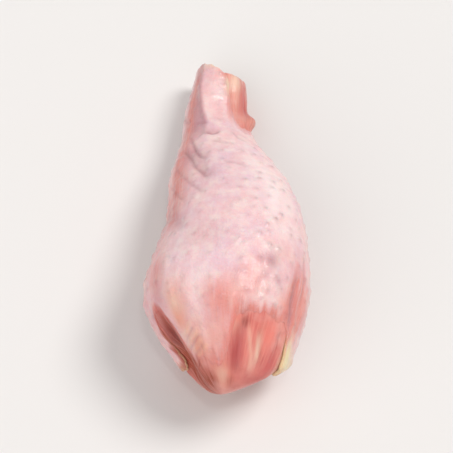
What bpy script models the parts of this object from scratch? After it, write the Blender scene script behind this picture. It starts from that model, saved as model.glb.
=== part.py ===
"""A raw chicken drumette, the meaty upper joint of a wing, lying on a table with its broad side up.

It is put together as the real one is. The humerus runs from the elbow to the shoulder, with its
cartilage showing at both ends. The meat sits round it and swells towards the shoulder. The skin is a
sleeve round the meat: it starts at the cut elbow, with a notch down one side, and ends in a ragged
hem, past which the muscle is bare.

Frame, in metres: +Z up, +Y towards the elbow, -Y towards the shoulder, +X to the right of someone who
looks from the shoulder end. The origin is on the table, under the middle of the piece.

A place on the outside of the drumette is given by two numbers. "along" is the distance from the elbow
end, measured down the length. "around" is the angle round it, in degrees: 0 is the right side, 90 the
top, 180 the left side and 270 the side on the table.
"""

import math

import bmesh
import bpy
import numpy as np
from mathutils import Vector, noise

MM = 0.001

# Driving dimensions
LENGTH = 94.2 * MM
ELBOW_Y = 46.7 * MM  # the elbow end lies this far along +Y from the origin
CAP_LENGTH = 32 * MM  # the rounded shoulder end, from the widest place to the tip
CAP_POWER = 2.3  # 2 would make the shoulder end an ellipsoid, more makes it blunter
CAP_LEAN = 0.65  # added to the power at the right side and taken off it at the left
WIDEST_LEVEL = 0.47  # the widest level of a section, as a share of its height
TIP_Z = 11.5 * MM
SKIN_THICKNESS = 1.2 * MM
UNDER_SKIN = 2.0 * MM  # how deep the meat lies below the outside of the skin
BARE_DEPTH = 0.5 * MM  # how deep it lies where no skin covers it
MEAT_START = 5.5 * MM  # the meat begins behind the elbow's condyles
BORE_CLEARANCE = 0.3 * MM  # between the bone and the meat round it

# The outside of the drumette, in millimetres: along, left and right edge (x), underside and top (z)
OUTLINE = np.array(
    (
        (0, -8.1, 5.0, 0.6, 14.0),
        (5, -9.4, 5.2, -0.4, 14.2),
        (10, -10.7, 5.0, 0.8, 14.6),
        (16, -11.6, 5.2, 1.8, 15.4),
        (21, -11.9, 6.8, 2.2, 17.4),
        (27, -12.7, 10.2, 1.8, 20.6),
        (34, -14.5, 14.9, 0.9, 24.4),
        (42, -15.3, 18.1, 0.0, 28.4),
        (49, -15.8, 19.6, -0.8, 31.4),
        (57, -17.7, 20.5, -1.3, 33.6),
        (64, -19.9, 20.7, -1.5, 34.6),
        (73, -21.4, 20.0, -1.0, 34.6),
        (83, -19.8, 18.8, 0.0, 33.6),
        (94, -18.4, 17.8, 1.5, 32.5),
    )
)

# Swellings and hollows: along and around of the middle, height, reach along, reach around in degrees
SWELLINGS = (
    (62, 152, 0.8, 12, 26),  # the muscle that bulges at the left, below its hollow
    (44, 176, -0.5, 7, 24),
    (52, 48, 0.7, 15, 24),  # the full right shoulder of the belly
    (38, 95, 0.7, 12, 30),
    (76, 100, 0.8, 9, 26),
    (80, 40, -0.7, 7, 18),
    (58, 230, 0.8, 14, 26),
    (60, 310, 0.9, 14, 26),
    (86, 172, -2.6, 4.5, 24),  # the flap at the left is drawn in under the shoulder
    (80, 4, -0.8, 8, 20),
)
NECK_RIDGES = (0.6, 12, 13, 110)  # three ridges along the neck: height, middle, reach and the first's angle
UNEVENNESS = 0.45 * MM  # of the soft meat under the skin
UNEVENNESS_SIZE = 15 * MM

# Where the sleeve of skin starts and ends: around in degrees, then along in millimetres
SKIN_START = (
    (-90, 3.0), (-66, 7.5), (-48, 13.5), (-28, 18.2), (0, 19.6), (28, 19.6), (43, 19.0), (51, 16.0),
    (60, 11.0), (66, 7.0), (73, 4.8), (84, 3.4), (104, 2.2), (130, 0.6), (160, 0.0), (200, 0.2), (235, 1.4),
)
SKIN_HEM = (
    (-60, 81.0), (-30, 84.5), (-14, 87.0), (-4, 88.6), (8, 89.2), (17, 88.4), (24, 85.4), (29, 81.6),
    (35, 79.6), (48, 78.2), (62, 78.0), (74, 79.0), (81, 80.0), (87, 85.2), (93, 88.4), (101, 89.2),
    (112, 88.0), (122, 87.2), (131, 87.0), (136, 85.0), (141, 79.8), (147, 75.4), (156, 75.2),
    (164, 77.0), (171, 79.8), (178, 82.8), (187, 85.6), (210, 84.0), (240, 79.0), (270, 79.6),
)
HEM_RAGGED = 0.5 * MM

# The loose edge of the skin stands off the meat: around, lift and reach around in degrees
LIFT_REACH = 5 * MM
LIFT_ALL = 0.25 * MM
LIFTS = ((172, 0.5, 22), (-4, 0.6, 20), (100, 0.4, 26), (250, 0.6, 30))

# Creases in the skin: depth and half width, then their way as pairs of along and around
CREASES = (
    (0.65, 1.5, ((26, 156), (32, 126), (37, 114), (41, 105))),
    (0.55, 1.3, ((27, 134), (31, 118), (34, 107))),
    (0.55, 1.3, ((24, 128), (23, 110), (23, 98), (24, 88))),
    (0.60, 2.2, ((44, 184), (47, 164), (52, 140), (57, 126))),
    (0.55, 1.8, ((31, 215), (28, 250), (31, 290))),
    (0.55, 1.8, ((23, 330), (25, 290), (23, 250))),
)

# Grooves between the bundles of bare muscle, written as the creases are
MUSCLE_GROOVES = (
    (1.1, 1.3, ((78, 73), (84, 78), (88, 80), (92.5, 79))),
    (0.6, 1.1, ((81, 60), (86, 56), (91, 44))),
    (0.6, 1.0, ((80, 36), (85, 36), (90, 36))),
    (0.7, 1.2, ((76, 150), (82, 152), (88, 156), (91, 160))),
    (0.9, 1.3, ((81, 226), (86, 224), (90, 220))),
    (0.9, 1.3, ((82, 312), (87, 314), (91, 318))),
    (0.7, 1.2, ((84, 266), (89, 262))),
)

# The strip of flesh in the notch of the skin, the stub it ends in and the fat at its top, as swellings
# of the meat
NOTCH_FLESH = ((11, 30, 0.9, 4, 26), (16.2, 8, 2.4, 2.4, 20), (6, 44, 0.7, 2.8, 20))

# Cuts that took the joint off the shoulder: a point of the plane and its outward normal
SHOULDER_CUTS = (
    ((1.5, -40.0, 7.2), (0.10, -0.68, -0.73)),
    ((12.4, -41.1, 14.2), (0.40, -0.83, -0.38)),
)
CUT_SOFTNESS = 0.7 * MM

# The humerus: its two ends, then its sections as share of the length, half width and half height
BONE_ELBOW = Vector((-0.9, 46.3, 7.2)) * MM
BONE_HEAD = Vector((0.6, -41.2, 8.6)) * MM
BONE_SECTIONS = np.array(
    (
        (0.00, 5.3, 4.6),
        (0.05, 5.0, 4.3),
        (0.10, 3.5, 3.1),
        (0.20, 2.8, 2.7),
        (0.60, 2.8, 2.8),
        (0.80, 3.3, 3.1),
        (0.92, 5.6, 4.9),
        (1.00, 6.0, 5.3),
    )
)
BONE_CAPS = (0.045, 0.065)  # the rounded ends at elbow and head, as shares of the length
CONDYLE_GROOVE = 1.1 * MM
CONDYLE_SLANT = 0.28  # the right condyle ends this much further down for each metre to the right
CONDYLE_POWER = 2.6  # how blunt the bone's ends are

# Fineness of the meshes
SKIN_COLUMNS, SKIN_ROWS = 60, 32
RIM_REACH = 0.45  # the rows of the skin's mesh follow its rims over this share of its length
MEAT_COLUMNS, MEAT_ROWS = 56, 36
BONE_COLUMNS, BONE_ROWS = 24, 24
MEAT_END_ROWS = 3  # of the meat's rows, these round off its elbow end
MEAT_END_DEPTH = 1.6 * MM
MEAT_SPREAD = ((3, 7.1), (10, 23.0), (17, 70.0), (36, 94.2))  # row of the meat's mesh, its along in mm


# ---------------------------------------------------------------- curves and distances


def through(x, knots, values):
    """A smooth curve through the knots, read at x: cubic pieces with the slopes of their neighbours."""
    knots, values = np.asarray(knots, float), np.asarray(values, float)
    slopes = np.gradient(values, knots)
    i = np.clip(np.searchsorted(knots, x) - 1, 0, len(knots) - 2)
    span = knots[i + 1] - knots[i]
    t = (np.clip(x, knots[0], knots[-1]) - knots[i]) / span
    return (
        (2 * t**3 - 3 * t**2 + 1) * values[i]
        + (t**3 - 2 * t**2 + t) * span * slopes[i]
        + (3 * t**2 - 2 * t**3) * values[i + 1]
        + (t**3 - t**2) * span * slopes[i + 1]
    )


def round_the_edge(around, rim):
    """A rim's place along, in metres, read at an angle: its knots are repeated for the turns beside it."""
    angle, place = np.array(rim, float).T
    knots = np.concatenate([angle - 360, angle, angle + 360])
    return through(np.mod(around + 90, 360) - 90, knots, np.tile(place, 3)) * MM


def ease(x):
    """0 up to 0, 1 from 1 on, and smooth between."""
    x = np.clip(x, 0, 1)
    return x * x * (3 - 2 * x)


def hump(x):
    return np.exp(-(x**2))


def turn_between(a, b):
    """The smallest angle between two directions, in degrees."""
    return np.abs(np.mod(a - b + 180, 360) - 180)


def distance_to(points, curve):
    """The distance from each point to the nearest of a curve's points."""
    return np.sqrt(((points[:, None, :] - curve[None, :, :]) ** 2).sum(axis=2)).min(axis=1)


# ---------------------------------------------------------------- the outside of the drumette


def along_of(reach):
    """Turns reach, from 0 at the elbow to 1 at the tip in even steps over the surface, into along."""
    straight = LENGTH - CAP_LENGTH
    total = straight + CAP_LENGTH * math.pi / 2
    walked = np.asarray(reach, float) * total
    turned = np.clip((walked - straight) / CAP_LENGTH, 0, math.pi / 2)
    return np.minimum(walked, straight) + CAP_LENGTH * np.sin(turned)


def reach_of(along):
    """The reverse of along_of."""
    straight = LENGTH - CAP_LENGTH
    total = straight + CAP_LENGTH * math.pi / 2
    past = np.clip((np.asarray(along, float) - straight) / CAP_LENGTH, 0, 1)
    return (np.minimum(along, straight) + CAP_LENGTH * np.arcsin(past)) / total


def plain_form(reach, around):
    """The outside with no relief: sections of four quarter ellipses, closed by the rounded end."""
    along, angle = along_of(reach), np.radians(around)
    left, right, bottom, top = (
        through(along / MM, OUTLINE[:, 0], OUTLINE[:, k]) * MM for k in range(1, 5)
    )
    past = np.clip((along - (LENGTH - CAP_LENGTH)) / CAP_LENGTH, 0, 1)
    power = CAP_POWER + CAP_LEAN * np.cos(angle)
    closing = (1 - past**power) ** (1 / power)
    middle_z = bottom + WIDEST_LEVEL * (top - bottom)
    height = np.where(np.sin(angle) > 0, top - middle_z, middle_z - bottom)
    level = TIP_Z + (middle_z - TIP_Z) * (1 - past**CAP_POWER) ** (0.8 / CAP_POWER)
    across = (left + right) / 2 + (right - left) / 2 * np.cos(angle)
    return np.stack(
        [across * closing, ELBOW_Y - along, level + height * closing * np.sin(angle)], axis=1
    )


def outward(reach, around):
    """The plain form's outward direction, from two small steps over it."""
    reach = np.clip(reach, 0, 0.9985)
    step, turn = 1e-3, 0.5
    down = plain_form(np.minimum(reach + step, 0.9995), around) - plain_form(reach - step, around)
    across = plain_form(reach, around + turn) - plain_form(reach, around - turn)
    direction = np.cross(across, down)
    return direction / np.linalg.norm(direction, axis=1, keepdims=True)


def way_over_form(way, points=40):
    """A curve over the plain form, through places given as pairs of along, in mm, and around."""
    along, around = np.array(way, float).T
    at = np.linspace(0, 1, points)
    knots = np.linspace(0, 1, len(along))
    return plain_form(reach_of(through(at, knots, along) * MM), through(at, knots, around))


def grooves(points, ways):
    """How deep each point lies in the grooves that run along the ways, fading out at their ends."""
    depth = np.zeros(len(points))
    for deep, half_width, way in ways:
        curve = way_over_form(way)
        away = np.sqrt(((points[:, None, :] - curve[None, :, :]) ** 2).sum(axis=2))
        nearest = away.argmin(axis=1) / (len(curve) - 1)
        fade = ease(nearest / 0.25) * ease((1 - nearest) / 0.25)
        depth += deep * MM * fade * hump(away.min(axis=1) / (half_width * MM))
    return depth


def humps(along, around, places):
    """The height of soft swellings, written as SWELLINGS is."""
    height = np.zeros(len(along))
    for at, angle, tall, reach_along, reach_around in places:
        away = hump((along - at) / reach_along) * hump(turn_between(around, angle) / reach_around)
        height += tall * MM * away
    return height


def swelling(reach, around):
    """The muscles' swellings and the unevenness of soft meat, at each place."""
    along = along_of(reach) / MM
    height = humps(along, around, SWELLINGS)
    tall, middle, reach_along, first = NECK_RIDGES
    height += tall * MM * hump((along - middle) / reach_along) * np.cos(np.radians(3 * (around - first)))
    places = plain_form(reach, around) / UNEVENNESS_SIZE
    rough = np.array([noise.noise(Vector(place)) for place in places])
    firm = ease((along - 12) / 25)  # the neck is bone and tendon, and even
    height += UNEVENNESS * rough * (0.25 + 0.75 * firm)
    return height * ease((1 - np.asarray(reach)) / 0.06)


def cut_by_knife(points, depth):
    """Presses what reaches past a shoulder cut back to its plane, with a soft edge."""
    for point, normal in SHOULDER_CUTS:
        normal = np.array(Vector(normal).normalized())
        past = (points - np.array(point) * MM) @ normal + depth
        over = CUT_SOFTNESS * np.logaddexp(0, past / CUT_SOFTNESS)
        points = points - over[:, None] * normal
    return points


def body_surface(reach, around, depth, relief=0.0):
    """Places on the drumette's body, this deep below its outside. It sinks onto the table's plane."""
    depth = np.broadcast_to(depth, np.shape(reach)).astype(float)
    rise = swelling(reach, around) + relief - depth
    points = plain_form(reach, around) + rise[:, None] * outward(reach, around)
    points = cut_by_knife(points, depth)
    points[:, 2] = np.maximum(points[:, 2], depth)
    return points


# ---------------------------------------------------------------- the skin's two rims


def start_of_skin(around):
    return round_the_edge(around, SKIN_START)


def hem_of_skin(around):
    ragged = np.sin(np.radians(around) * 9) + 0.6 * np.sin(np.radians(around) * 17 + 1)
    return round_the_edge(around, SKIN_HEM) + HEM_RAGGED * ragged


def rim_curves():
    """Both rims as points on the plain form."""
    angles = np.arange(0, 360, 2.0)
    return (
        plain_form(reach_of(start_of_skin(angles)), angles),
        plain_form(reach_of(hem_of_skin(angles)), angles),
    )


def bareness(reach, around):
    """0 under the skin, and 1 from a little way past its rims, where the meat swells free."""
    places = plain_form(reach, around)
    start, hem = rim_curves()
    along = along_of(reach)
    past_hem = np.where(along > hem_of_skin(around), distance_to(places, hem), 0)
    past_start = np.where(along < start_of_skin(around), distance_to(places, start), 0)
    return ease((np.maximum(past_hem, past_start) - 0.8 * MM) / (2.4 * MM))


# ---------------------------------------------------------------- Blender helpers


def clear_scene():
    for leftover in list(bpy.data.objects):
        bpy.data.objects.remove(leftover)


def material(name, colour, roughness):
    made = bpy.data.materials.new(name)
    made.use_nodes = True
    shader = made.node_tree.nodes["Principled BSDF"]
    shader.inputs["Base Color"].default_value = (*colour, 1)
    shader.inputs["Roughness"].default_value = roughness
    shader.inputs["Metallic"].default_value = 0
    return made


def add_object(name, shape, collection, look=None):
    """Makes an object of a bmesh, facing outwards and shaded smooth, and returns it."""
    if shape.calc_volume(signed=True) < 0:
        bmesh.ops.reverse_faces(shape, faces=shape.faces)
    mesh = bpy.data.meshes.new(name)
    shape.to_mesh(mesh)
    shape.free()
    mesh.shade_smooth()
    made = bpy.data.objects.new(name, mesh)
    collection.objects.link(made)
    if look:
        mesh.materials.append(look)
    return made


def new_collection(name):
    made = bpy.data.collections.new(name)
    bpy.context.scene.collection.children.link(made)
    return made


def sphere_coordinates(shape):
    """Each vertex of a unit sphere as its share of the way from pole to pole, and its angle round."""
    points = np.array([vertex.co for vertex in shape.verts])
    share = np.arccos(np.clip(-points[:, 2], -1, 1)) / math.pi
    return share, np.degrees(np.arctan2(points[:, 1], points[:, 0]))


def move_vertices(shape, points):
    for vertex, point in zip(shape.verts, points):
        vertex.co = point


# ---------------------------------------------------------------- the bone


def bone_surface(share, around, grow=0.0):
    """The humerus: a shaft between the elbow's grooved condyles and the round shoulder head."""
    angle = np.radians(around)
    way = (BONE_HEAD - BONE_ELBOW).normalized()
    elbow, head = BONE_ELBOW - grow * way, BONE_HEAD + grow * way
    at_elbow, at_head = BONE_CAPS
    elbow_end = np.clip(1 - share / at_elbow, 0, 1)
    head_end = np.clip((share - (1 - at_head)) / at_head, 0, 1)
    blunt = 1 / CONDYLE_POWER
    closing = (1 - elbow_end**CONDYLE_POWER) ** blunt * (1 - head_end**CONDYLE_POWER) ** blunt
    wide, tall = (through(share, BONE_SECTIONS[:, 0], BONE_SECTIONS[:, k]) * MM for k in (1, 2))
    x, z = (wide + grow) * closing * np.cos(angle), (tall + grow) * closing * np.sin(angle)
    near_elbow = ease(1 - share / (2 * at_elbow))
    groove = CONDYLE_GROOVE * near_elbow * hump(x / (1.6 * MM))
    slant = CONDYLE_SLANT * near_elbow * (x + 3 * MM)
    middle = np.array(elbow) + share[:, None] * np.array(head - elbow)
    return middle + np.stack([x, -groove - slant, z], axis=1)


def bone_rows(row_share):
    """Moves the sphere's even rows so that they crowd into the bone's two ends."""
    at_elbow, at_head = BONE_CAPS
    knots = (0, 0.22, 0.34, 0.62, 0.74, 1)
    places = (0, at_elbow, 0.14, 0.84, 1 - at_head, 1)
    spread = np.interp(row_share, knots, places)
    in_elbow, in_head = row_share < knots[1], row_share > knots[4]
    elbow_turn = (1 - row_share / knots[1]) * math.pi / 2
    head_turn = (row_share - knots[4]) / (1 - knots[4]) * math.pi / 2
    spread = np.where(in_elbow, at_elbow * (1 - np.sin(elbow_turn)), spread)
    return np.where(in_head, 1 - at_head * (1 - np.sin(head_turn)), spread)


def make_bone(name, collection, look=None, grow=0.0):
    shape = bmesh.new()
    bmesh.ops.create_uvsphere(shape, u_segments=BONE_COLUMNS, v_segments=BONE_ROWS, radius=1)
    row_share, around = sphere_coordinates(shape)
    move_vertices(shape, bone_surface(bone_rows(row_share), around, grow))
    return add_object(name, shape, collection, look)


# ---------------------------------------------------------------- the meat


def meat_rows(row):
    """Where each row of the meat's mesh lies, and how far it is drawn in to round off the elbow end."""
    turn = np.clip(row / MEAT_END_ROWS, 0, 1) * math.pi / 2
    rows, along = np.array(MEAT_SPREAD).T
    reach = np.interp(row, rows, reach_of(along * MM))
    end = reach_of(MEAT_START + MEAT_END_DEPTH * (1 - np.cos(turn)))
    return np.where(row < MEAT_END_ROWS, end, reach), np.sin(turn)


def make_meat(collection, look):
    """The muscles: deep under the skin, swelling up past its rims, with grooves between the bundles."""
    shape = bmesh.new()
    bmesh.ops.create_uvsphere(shape, u_segments=MEAT_COLUMNS, v_segments=MEAT_ROWS, radius=1)
    row_share, around = sphere_coordinates(shape)
    reach, drawn_in = meat_rows(row_share * MEAT_ROWS)
    bare = bareness(reach, around)
    depth = UNDER_SKIN + (BARE_DEPTH - UNDER_SKIN) * bare
    relief = -grooves(plain_form(reach, around), MUSCLE_GROOVES) * (0.3 + 0.7 * bare)
    relief += humps(along_of(reach) / MM, around, NOTCH_FLESH) * bare
    points = body_surface(reach, around, depth, relief)
    for axis in (0, 2):
        points[:, axis] = BONE_ELBOW[axis] + (points[:, axis] - BONE_ELBOW[axis]) * drawn_in
    move_vertices(shape, points)
    return add_object("meat", shape, collection, look)


def cut_bore(meat, cutter):
    bore = meat.modifiers.new("bone bore", "BOOLEAN")
    bore.operation = "DIFFERENCE"
    bore.solver = "EXACT"
    bore.object = cutter
    cutter.hide_render = True
    cutter.display_type = "WIRE"


# ---------------------------------------------------------------- the skin


def loose_edge(reach, around):
    """How far the skin stands off near its hem."""
    away = hem_of_skin(around) - along_of(reach)
    lift = np.full(len(away), LIFT_ALL)
    for angle, tall, reach_around in LIFTS:
        lift += tall * MM * hump(turn_between(around, angle) / reach_around)
    return lift * ease(1 - away / LIFT_REACH)


def make_skin(collection, look):
    """An open sleeve between the two rims, given its thickness inwards."""
    shape = bmesh.new()
    bmesh.ops.create_grid(shape, x_segments=SKIN_COLUMNS, y_segments=SKIN_ROWS, size=0.5)
    grid = np.array([vertex.co for vertex in shape.verts])
    around, share = (grid[:, 0] + 0.5) * 360, grid[:, 1] + 0.5
    first, last = reach_of(start_of_skin(around)), reach_of(hem_of_skin(around))
    reach = first.mean() + (last.mean() - first.mean()) * share
    reach += (first - first.mean()) * ease(1 - share / RIM_REACH)
    reach += (last - last.mean()) * ease(1 - (1 - share) / RIM_REACH)
    places = plain_form(reach, around)
    relief = loose_edge(reach, around) - grooves(places, CREASES)
    move_vertices(shape, body_surface(reach, around, 0.0, relief))
    bmesh.ops.remove_doubles(shape, verts=shape.verts, dist=0.01 * MM)
    skin = add_object("skin", shape, collection, look)
    thickness = skin.modifiers.new("thickness", "SOLIDIFY")
    thickness.thickness = SKIN_THICKNESS
    thickness.offset = -1
    return skin


def main():
    clear_scene()
    drumette, cutters = new_collection("drumette"), new_collection("cutters")
    make_bone("bone", drumette, material("cartilage", (0.80, 0.72, 0.58), 0.35))
    meat = make_meat(drumette, material("raw meat", (0.60, 0.19, 0.17), 0.35))
    cut_bore(meat, make_bone("bore", cutters, grow=BORE_CLEARANCE))
    make_skin(drumette, material("raw skin", (0.84, 0.60, 0.57), 0.40))


main()
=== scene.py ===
"""The looks of a raw chicken drumette that lies on a pale table, seen from above its shoulder end.

It is dressed in the order it grew: the humerus, the meat round it, and the skin over both. A place on
its outside is given by "along", the distance from the elbow end, and "around", the angle round it in
degrees: 0 is the right side, 90 the top, 180 the left side and 270 the side on the table.
"""

import math

import bmesh
import bpy
import numpy as np
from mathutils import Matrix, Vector, kdtree, noise


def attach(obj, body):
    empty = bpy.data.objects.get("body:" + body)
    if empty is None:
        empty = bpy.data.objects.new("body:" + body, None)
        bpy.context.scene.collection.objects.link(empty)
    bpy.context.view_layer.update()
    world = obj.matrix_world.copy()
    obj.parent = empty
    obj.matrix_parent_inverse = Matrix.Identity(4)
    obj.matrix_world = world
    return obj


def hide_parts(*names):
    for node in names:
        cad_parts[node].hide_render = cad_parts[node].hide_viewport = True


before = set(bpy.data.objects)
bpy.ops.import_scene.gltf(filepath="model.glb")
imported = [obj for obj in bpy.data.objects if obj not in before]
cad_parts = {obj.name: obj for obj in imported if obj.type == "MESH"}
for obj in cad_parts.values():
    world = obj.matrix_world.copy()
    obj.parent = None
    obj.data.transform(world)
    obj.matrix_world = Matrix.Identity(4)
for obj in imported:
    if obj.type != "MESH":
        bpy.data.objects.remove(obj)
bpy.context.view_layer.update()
MM = 0.001

# ------------------------------------------------------------------------------------------ humerus
# The upper wing bone, cut free at both joints. Only its two ends show: wet, glassy hyaline cartilage,
# milky with a cream cast, over the elbow's two condyles with the groove between them and over the
# round shoulder head. It is as smooth as the joint it turned in.

BONE_ELBOW = Vector((-0.9, 46.3, 7.2)) * MM
BONE_HEAD = Vector((0.6, -41.2, 8.6)) * MM
BONE_SECTIONS = np.array(  # share of the length, half width and half height in millimetres
    (
        (0.00, 5.3, 4.6),
        (0.05, 5.0, 4.3),
        (0.10, 3.5, 3.1),
        (0.20, 2.8, 2.7),
        (0.60, 2.8, 2.8),
        (0.80, 3.3, 3.1),
        (0.92, 5.6, 4.9),
        (1.00, 6.0, 5.3),
    )
)
BONE_CAPS = (0.045, 0.065)  # the rounded ends at the elbow and the head, as shares of the length
CONDYLE_GROOVE = 1.1 * MM
GROOVE_HALF_WIDTH = 1.6 * MM
CONDYLE_SLANT = 0.28
SLANT_FROM = -3 * MM
CONDYLE_POWER = 2.6
BONE_UNEVENNESS = 0.35 * MM
BONE_UNEVENNESS_SIZE = 4.0 * MM
FLESH_STARTS, FLESH_BLEND = 0.008, 0.03  # shares of the length from either end


def through(x, knots, values):
    """A smooth curve through the knots, read at x."""
    knots, values = np.asarray(knots, float), np.asarray(values, float)
    slopes = np.gradient(values, knots)
    i = np.clip(np.searchsorted(knots, x) - 1, 0, len(knots) - 2)
    span = knots[i + 1] - knots[i]
    t = (np.clip(x, knots[0], knots[-1]) - knots[i]) / span
    return (
        (2 * t**3 - 3 * t**2 + 1) * values[i]
        + (t**3 - 2 * t**2 + t) * span * slopes[i]
        + (3 * t**2 - 2 * t**3) * values[i + 1]
        + (t**3 - t**2) * span * slopes[i + 1]
    )


def ease(x):
    x = np.clip(x, 0, 1)
    return x * x * (3 - 2 * x)


def hump(x):
    return np.exp(-(x**2))


def rough(points, size, seed=0.0):
    """Soft noise from -1 to 1 at each point, whose lumps are about this size."""
    shift = Vector((seed, 2.3 * seed, -1.7 * seed))
    return np.array([noise.noise(Vector(point) + shift) for point in points / size])


def ball_places(piece):
    """Each vertex of a unit ball as its share of the way from pole to pole, and its angle round."""
    points = np.empty(len(piece.data.vertices) * 3)
    piece.data.vertices.foreach_get("co", points)
    points = points.reshape(-1, 3)
    share = np.arccos(np.clip(-points[:, 2], -1, 1)) / math.pi
    return share, np.degrees(np.arctan2(points[:, 1], points[:, 0]))


def shape_piece(piece, name, points):
    """Moves a primitive's vertices into place, turns its faces outwards and smooths its shading. Its
    faces are also sorted, because Blender lists those of a sphere in another order each time."""
    piece.name = piece.data.name = name
    piece.data.vertices.foreach_set("co", np.ascontiguousarray(points, float).ravel())
    shape = bmesh.new()
    shape.from_mesh(piece.data)
    corners = [sorted(vert.index for vert in face.verts) for face in shape.faces]
    rank = np.argsort(sorted(range(len(corners)), key=lambda k: corners[k]))
    shape.faces.sort(key=lambda face: float(rank[face.index]))
    if shape.calc_volume(signed=True) < 0:
        bmesh.ops.reverse_faces(shape, faces=shape.faces)
    shape.to_mesh(piece.data)
    shape.free()
    piece.data.shade_smooth()


def paint(piece, name, values, kind="FLOAT"):
    """Keeps a value for each vertex, which the material reads by its name."""
    layer = piece.data.attributes.new(name, kind, "POINT")
    field = "value" if kind == "FLOAT" else "vector"
    layer.data.foreach_set(field, np.ascontiguousarray(values, float).ravel())


def dress(piece, node, look):
    piece.data.materials.append(look)
    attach(piece, "root")
    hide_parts(node)


def linear(hex_colour):
    """An sRGB hex colour as the linear colour that a shader takes."""
    parts = [int(hex_colour[i : i + 2], 16) / 255 for i in (1, 3, 5)]
    return (*(c / 12.92 if c <= 0.04045 else ((c + 0.055) / 1.055) ** 2.4 for c in parts), 1)


def add_node(tree, kind, inputs=None, **settings):
    """Adds a shader node with its settings, and its inputs set to values or linked to sockets."""
    made = tree.nodes.new("ShaderNode" + kind)
    for name, value in settings.items():
        setattr(made, name, value)
    for name, value in (inputs or {}).items():
        if isinstance(value, bpy.types.NodeSocket):
            tree.links.new(value, made.inputs[name])
        else:
            made.inputs[name].default_value = value
    return made


def layered(tree, colour, layers):
    """Lays colours, hex or socket, over this one in turn. The amount of each is a socket, or the name
    of the value that the piece is painted with."""
    for amount, over in layers:
        if isinstance(amount, str):
            amount = add_node(tree, "Attribute", attribute_name=amount).outputs["Fac"]
        over = linear(over) if isinstance(over, str) else over
        colour = add_node(tree, "Mix", {0: amount, 6: colour, 7: over}, data_type="RGBA").outputs[2]
    return colour


def bone_surface(share, around):
    angle = np.radians(around)
    at_elbow, at_head = BONE_CAPS
    elbow_end = np.clip(1 - share / at_elbow, 0, 1)
    head_end = np.clip((share - (1 - at_head)) / at_head, 0, 1)
    blunt = 1 / CONDYLE_POWER
    closing = (1 - elbow_end**CONDYLE_POWER) ** blunt * (1 - head_end**CONDYLE_POWER) ** blunt
    wide, tall = (through(share, BONE_SECTIONS[:, 0], BONE_SECTIONS[:, k]) * MM for k in (1, 2))
    x, z = wide * closing * np.cos(angle), tall * closing * np.sin(angle)
    near_elbow = ease(1 - share / (2 * at_elbow))
    groove = CONDYLE_GROOVE * near_elbow * hump(x / GROOVE_HALF_WIDTH)
    slant = CONDYLE_SLANT * near_elbow * (x - SLANT_FROM)
    middle = np.array(BONE_ELBOW) + share[:, None] * np.array(BONE_HEAD - BONE_ELBOW)
    return middle + np.stack([x, -groove - slant, z], axis=1)


def bone_rows(row_share):
    """Crowds the ball's even rows into the bone's two ends."""
    at_elbow, at_head = BONE_CAPS
    knots = (0, 0.30, 0.40, 0.55, 0.66, 1)
    places = (0, at_elbow, 0.14, 0.84, 1 - at_head, 1)
    spread = np.interp(row_share, knots, places)
    elbow_turn = (1 - row_share / knots[1]) * math.pi / 2
    head_turn = (row_share - knots[4]) / (1 - knots[4]) * math.pi / 2
    spread = np.where(row_share < knots[1], at_elbow * (1 - np.sin(elbow_turn)), spread)
    return np.where(row_share > knots[4], 1 - at_head * (1 - np.sin(head_turn)), spread)


def wet_cartilage():
    """Hyaline cartilage: milky, slightly blue where thin and cream where thick, wet, and pink with
    blood towards the flesh it comes out of."""
    look = bpy.data.materials.new("wet hyaline cartilage")
    look.use_nodes = True
    tree = look.node_tree
    shader = tree.nodes["Principled BSDF"]
    place = add_node(tree, "TexCoord").outputs["Object"]
    cloud = add_node(tree, "TexNoise", {"Vector": place, "Scale": 1 / (3.5 * MM), "Detail": 3.0})
    stain = add_node(tree, "TexNoise", {"Vector": place, "Scale": 1 / (1.6 * MM), "Detail": 4.0})
    thickness = add_node(
        tree, "MapRange", {"Value": cloud.outputs["Fac"], "From Min": 0.35, "From Max": 0.65}
    )
    near_flesh = add_node(tree, "Attribute", attribute_name="near_flesh").outputs["Fac"]
    stained = add_node(
        tree, "MapRange", {"Value": stain.outputs["Fac"], "From Min": 0.42, "From Max": 0.68, "To Max": 0.6}
    )
    bloody = add_node(
        tree,
        "Math",
        {0: near_flesh, 1: 0.75, 2: stained.outputs["Result"]},
        operation="MULTIPLY_ADD",
        use_clamp=True,
    )
    milky = layered(tree, linear("#dbcfd3"), ((thickness.outputs["Result"], "#ecd0b4"),))
    tinted = layered(tree, milky, ((bloody.outputs[0], "#d58f86"),))
    tree.links.new(tinted, shader.inputs["Base Color"])
    dimple = add_node(tree, "Bump", {"Height": cloud.outputs["Fac"], "Distance": 0.5 * MM, "Strength": 0.6})
    tree.links.new(dimple.outputs["Normal"], shader.inputs["Normal"])
    for name, value in {
        "Roughness": 0.30,
        "IOR": 1.38,
        "Subsurface Weight": 0.45,
        "Subsurface Radius": (1.0, 0.62, 0.45),
        "Subsurface Scale": 1.6 * MM,
        "Coat Weight": 0.6,
        "Coat IOR": 1.33,
        "Coat Roughness": 0.10,
    }.items():
        shader.inputs[name].default_value = value
    return look


bpy.ops.object.select_all(action="DESELECT")
bpy.ops.mesh.primitive_uv_sphere_add(segments=96, ring_count=96, radius=1)
humerus = bpy.context.active_object
share, around = ball_places(humerus)
share = bone_rows(share)
points = bone_surface(share, around)
from_pole = np.arccos(np.abs(2 * share - 1))
uneven = rough(points, BONE_UNEVENNESS_SIZE, seed=1.3) * ease(from_pole / 0.1)
points[:, 1] += BONE_UNEVENNESS * uneven
shape_piece(humerus, "humerus", points)
paint(humerus, "near_flesh", ease((np.minimum(share, 1 - share) - FLESH_STARTS) / FLESH_BLEND))
dress(humerus, "bone", wet_cartilage())

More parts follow.
